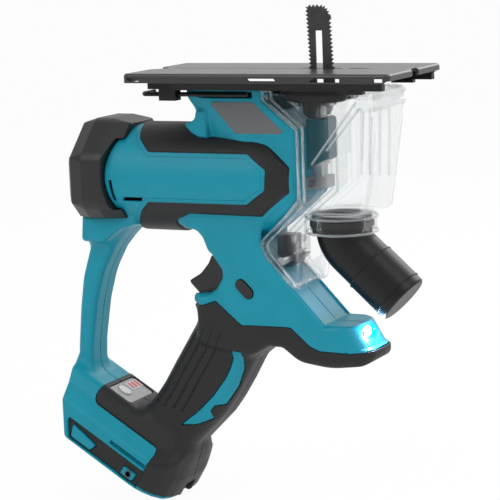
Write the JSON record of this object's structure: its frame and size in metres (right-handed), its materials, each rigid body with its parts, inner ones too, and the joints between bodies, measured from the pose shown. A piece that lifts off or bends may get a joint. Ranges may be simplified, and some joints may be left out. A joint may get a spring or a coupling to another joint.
{
  "type": "cordless drywall saw",
  "caption": "Pistol-grip cordless drywall saw with a flat metal shoe round a short reciprocating blade, clear dust box, swivelling dust nozzle and angled battery foot",
  "frame": {"origin": "On the shoe's work face, at the middle of the blade", "axes": "+Z out of the shoe's work face along the blade, +X towards the dust box and nose, Y across the tool with the housing split on Y = 0"},
  "size_m": [0.267, 0.092, 0.3539],
  "materials": {
    "shoe_paint": "light grey paint, satin",
    "black_frame": "black paint, satin",
    "teal_shell": "fine-grained moulded plastic",
    "black_shell": "fine-grained moulded plastic",
    "soft_grip": "soft overmould with a dull grain",
    "clear_box": "clear moulded plastic",
    "nozzle_plastic": "semi-gloss moulded plastic",
    "trim_plastic": "dark grey moulded plastic",
    "blade_steel": "ground steel",
    "mechanism_steel": "machined steel",
    "fastener_steel": "dark zinc",
    "key_steel": "black oxide",
    "case_alloy": "die cast",
    "winding_copper": "lacquered copper wire",
    "magnet_ferrite": "sintered ferrite",
    "board_green": "circuit board",
    "lamp_lens": "clear moulded plastic",
    "seal_rubber": "moulded rubber",
    "insert_brass": "turned brass"
  },
  "bodies": {
    "tool": {"base_plate": "shoe_paint", "base_frame": "black_frame", "base_screws": "fastener_steel", "key_holder": "trim_plastic", "housing_left": "teal_shell", "housing_right": "teal_shell", "rear_cap": "black_shell", "cap_screws": "fastener_steel", "housing_screws": "fastener_steel", "barrel_pad_left": "soft_grip", "barrel_pad_right": "soft_grip", "grip_rubber_left": "soft_grip", "grip_rubber_right": "soft_grip", "motor_can": "mechanism_steel", "magnets": "magnet_ferrite", "brush_holder": "trim_plastic", "brushes": "magnet_ferrite", "front_bearing": "mechanism_steel", "rear_bearing": "mechanism_steel", "gear_case": "case_alloy", "gear_bearing": "mechanism_steel", "plunger_guide": "case_alloy", "guide_screws": "fastener_steel", "front_bracket": "mechanism_steel", "switch_body": "trim_plastic", "trigger_spring": "mechanism_steel", "controller_board": "board_green", "led_board": "board_green", "led_lens": "lamp_lens", "gauge_panel": "trim_plastic", "gauge_board": "board_green", "terminal_block": "trim_plastic", "terminal_blades": "mechanism_steel", "hook_inserts": "insert_brass"},
    "rotor": {"armature_shaft": "mechanism_steel", "armature_core": "mechanism_steel", "armature_windings": "winding_copper", "commutator": "winding_copper", "cooling_fan": "trim_plastic", "pinion": "mechanism_steel"},
    "gear": {"drive_gear": "mechanism_steel", "gear_shaft": "mechanism_steel"},
    "carriage": {"plunger": "mechanism_steel", "blade_clamp": "mechanism_steel", "clamp_bolt": "fastener_steel", "saw_blade": "blade_steel"},
    "trigger_body": {"trigger": "trim_plastic"},
    "lock_body": {"lock_button": "trim_plastic"},
    "gauge_body": {"gauge_button": "trim_plastic"},
    "key_body": {"hex_key": "key_steel"},
    "box_body": {"dust_box": "clear_box", "nozzle_seal": "seal_rubber", "latch_pin": "trim_plastic"},
    "latch_body": {"box_latch": "trim_plastic"},
    "nozzle_body": {"nozzle_elbow": "nozzle_plastic", "nozzle_sleeve": "nozzle_plastic"},
    "nozzle_cap_body": {"nozzle_cap": "nozzle_plastic"}
  },
  "joints": [
    {"name": "motor_spin", "type": "hinge", "parent": "tool", "child": "rotor", "pos_m": [-0.105, 0, -0.076], "axis": [1, 0, 0], "continuous": true},
    {"name": "gear_spin", "type": "hinge", "parent": "tool", "child": "gear", "pos_m": [-0.028, 0, -0.054], "axis": [1, 0, 0], "continuous": true},
    {"name": "blade_stroke", "type": "slide", "parent": "tool", "child": "carriage", "axis": [0, 0, 1], "range_m": [-0.003, 0.003]},
    {"name": "trigger_pull", "type": "slide", "parent": "tool", "child": "trigger_body", "axis": [1, 0, 0], "range_m": [0, 0.006], "stiffness_N_per_m": 900, "springref_m": -0.004, "deforming": ["trigger_spring"]},
    {"name": "lock_push", "type": "slide", "parent": "tool", "child": "lock_body", "axis": [0, 1, 0], "range_m": [-0.0025, 0.0025]},
    {"name": "gauge_press", "type": "slide", "parent": "tool", "child": "gauge_body", "axis": [-0.515, 0, -0.8572], "range_m": [0, 0.0008], "stiffness_N_per_m": 800, "springref_m": -0.0005},
    {"name": "key_pull", "type": "slide", "parent": "tool", "child": "key_body", "axis": [-1, 0, 0], "range_m": [0, 0.08]},
    {"name": "dust_box_pull", "type": "slide", "parent": "tool", "child": "box_body", "axis": [1, 0, 0], "range_m": [0, 0.08]},
    {"name": "latch_press", "type": "hinge", "parent": "box_body", "child": "latch_body", "pos_m": [-0.026, 0, -0.1305], "axis": [0, 1, 0], "range_deg": [0, 8], "stiffness_Nm_per_rad": 0.5, "springref_deg": -5.73},
    {"name": "nozzle_swivel", "type": "hinge", "parent": "box_body", "child": "nozzle_body", "pos_m": [0.0115, 0, -0.105], "axis": [0, 0, 1], "range_deg": [-90, 90]},
    {"name": "cap_pull", "type": "slide", "parent": "nozzle_body", "child": "nozzle_cap_body", "axis": [0.7455, 0, -0.6665], "range_m": [0, 0.025]}
  ],
  "couplings": [
    {"joint": "gear_spin", "follows": "motor_spin", "ratio": -0.29412}
  ]
}
